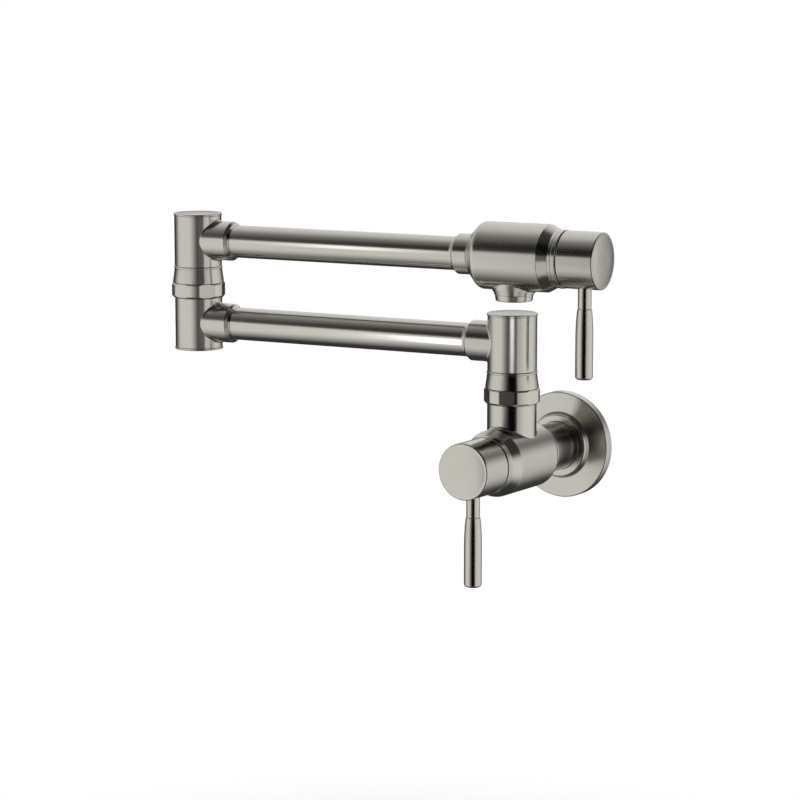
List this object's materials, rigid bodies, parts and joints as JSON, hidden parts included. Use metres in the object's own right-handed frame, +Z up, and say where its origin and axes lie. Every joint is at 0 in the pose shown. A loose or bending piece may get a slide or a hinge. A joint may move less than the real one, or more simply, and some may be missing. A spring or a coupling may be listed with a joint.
{
  "type": "wall-mounted pot filler",
  "caption": "Wall-mounted pot filler: folding swing arms on swivel columns, a lever valve at the wall flange and a second lever valve above the spout outlet.",
  "frame": {"origin": "on the axis of the inlet thread, in the wall plane that the back of the flange rests on", "axes": "+Y into the wall along the inlet axis, +Z up, +X to the right of someone who faces the wall; the arms are folded towards -X and turned 6 degrees out from the wall"},
  "size_m": [0.2843, 0.116, 0.2055],
  "materials": {
    "brushed_nickel": "satin brushed nickel plating",
    "brass": "machined",
    "rubber": "matt black",
    "white_plastic": "smooth white",
    "ceramic": "lapped ceramic"
  },
  "bodies": {
    "wall_body": {"wall_flange": "brushed_nickel", "flange_gasket": "rubber", "flange_o_ring": "rubber", "inlet_shank": "brushed_nickel", "valve_body": "brushed_nickel", "base_nut": "brushed_nickel", "base_post": "brass", "base_o_rings": "rubber", "base_glide_ring": "white_plastic", "base_thrust_washer": "white_plastic", "base_circlip": "brass", "lower_seat_seal": "rubber", "lower_fixed_disc": "ceramic", "lower_cartridge": "brass", "lower_bonnet": "brushed_nickel"},
    "lower_handle": {"lower_moving_disc": "ceramic", "lower_stem": "brass", "lower_stem_o_ring": "rubber", "lower_hub": "brushed_nickel", "lower_lever_neck": "brushed_nickel", "lower_lever_grip": "brushed_nickel"},
    "lower_arm": {"base_collar": "brushed_nickel", "base_elbow": "brushed_nickel", "base_cap": "brushed_nickel", "lower_tube": "brushed_nickel", "mid_lower_elbow": "brushed_nickel", "mid_lower_cap": "brushed_nickel", "mid_nut": "brushed_nickel", "mid_post": "brass", "mid_o_rings": "rubber", "mid_glide_ring": "white_plastic", "mid_thrust_washer": "white_plastic", "mid_circlip": "brass"},
    "upper_arm": {"mid_collar": "brushed_nickel", "mid_upper_elbow": "brushed_nickel", "mid_upper_cap": "brushed_nickel", "upper_tube": "brushed_nickel", "head_collar": "brushed_nickel", "head_body": "brushed_nickel", "aerator_ring": "brushed_nickel", "aerator_insert": "white_plastic", "aerator_washer": "rubber", "upper_seat_seal": "rubber", "upper_fixed_disc": "ceramic", "upper_cartridge": "brass", "upper_bonnet": "brushed_nickel"},
    "upper_handle": {"upper_moving_disc": "ceramic", "upper_stem": "brass", "upper_stem_o_ring": "rubber", "upper_hub": "brushed_nickel", "upper_lever_neck": "brushed_nickel", "upper_lever_grip": "brushed_nickel"}
  },
  "joints": [
    {"name": "lower_valve_turn", "type": "hinge", "parent": "wall_body", "child": "lower_handle", "pos_m": [0, -0.1, 0], "axis": [0, -1, 0], "range_deg": [0, 90]},
    {"name": "base_swivel", "type": "hinge", "parent": "wall_body", "child": "lower_arm", "pos_m": [0, -0.0622, 0.05], "axis": [0, 0, 1], "range_deg": [-16, 184]},
    {"name": "mid_swivel", "type": "hinge", "parent": "lower_arm", "child": "upper_arm", "pos_m": [-0.21034, -0.08431, 0.1], "axis": [0, 0, 1], "continuous": true},
    {"name": "upper_valve_turn", "type": "hinge", "parent": "upper_arm", "child": "upper_handle", "pos_m": [0.03978, -0.05802, 0.1177], "axis": [-0.9945, -0.1045, 0], "range_deg": [0, 90]}
  ]
}
